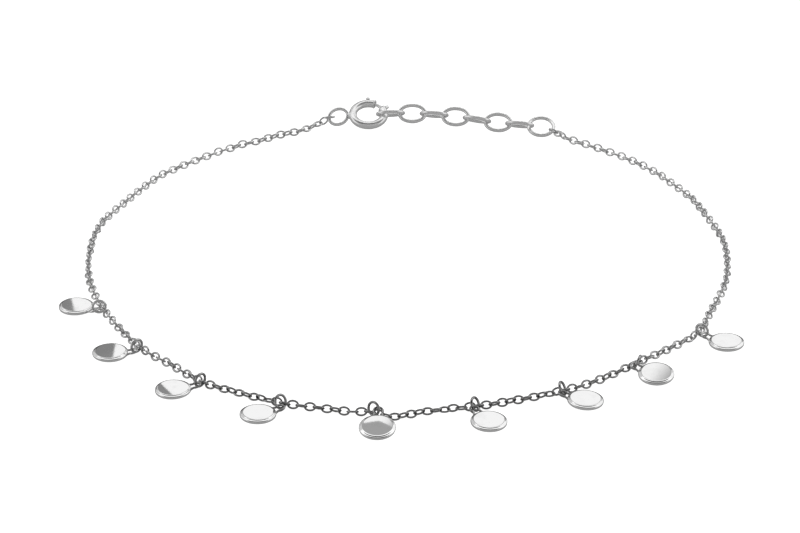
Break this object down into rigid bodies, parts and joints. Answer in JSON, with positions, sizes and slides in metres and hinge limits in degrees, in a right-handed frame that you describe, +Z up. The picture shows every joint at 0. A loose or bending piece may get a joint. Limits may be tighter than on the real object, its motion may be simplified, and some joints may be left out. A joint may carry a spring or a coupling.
{
  "type": "bracelet",
  "caption": "Fine trace chain bracelet with small round coin drops on jump rings, a spring ring clasp and an extender of oval links, lying closed in a loop.",
  "frame": {"origin": "centre of the box that holds the closed bracelet, at the height of the surface it lies on", "axes": "+Z up from the surface, +Y towards the clasp and away from the coins, +X to the right as seen from the coins' side"},
  "size_m": [0.068, 0.073, 0.002],
  "materials": {
    "coins": "mirror-polished solid silver discs with soft rounded rims",
    "jump_rings": "polished silver wire",
    "chain": "polished silver wire links",
    "clasp": "satin-polished silver tube",
    "extender": "satin-polished silver wire links"
  },
  "bodies": {
    "bracelet": {"chain_link_1": "chain", "chain_link_2": "chain", "chain_link_3": "chain", "chain_link_4": "chain", "chain_link_5": "chain", "chain_link_6": "chain", "chain_link_7": "chain", "chain_link_8": "chain", "chain_link_9": "chain", "chain_link_10": "chain", "chain_link_11": "chain", "chain_run_1": "chain", "chain_run_2": "chain", "chain_run_3": "chain", "chain_run_4": "chain", "chain_run_5": "chain", "chain_run_6": "chain", "chain_run_7": "chain", "chain_run_8": "chain", "chain_run_9": "chain", "chain_run_10": "chain", "clasp_body": "clasp", "coin_1": "coins", "coin_2": "coins", "coin_3": "coins", "coin_4": "coins", "coin_5": "coins", "coin_6": "coins", "coin_7": "coins", "coin_8": "coins", "coin_9": "coins", "extender_link_1": "extender", "extender_link_2": "extender", "extender_link_3": "extender", "extender_link_4": "extender", "extender_link_5": "extender", "extender_link_6": "extender", "extender_link_7": "extender", "extender_ring": "extender", "jump_ring_1": "jump_rings", "jump_ring_2": "jump_rings", "jump_ring_3": "jump_rings", "jump_ring_4": "jump_rings", "jump_ring_5": "jump_rings", "jump_ring_6": "jump_rings", "jump_ring_7": "jump_rings", "jump_ring_8": "jump_rings", "jump_ring_9": "jump_rings"},
    "clasp_bolt": {"clasp_bolt": "clasp"}
  },
  "joints": [
    {"name": "clasp_bolt_slide", "type": "hinge", "parent": "bracelet", "child": "clasp_bolt", "pos_m": [-0.00335, 0.03401, 0.00101], "axis": [0, -0.3173, 0.9483], "range_deg": [0, 36], "stiffness_Nm_per_rad": 0.002}
  ]
}
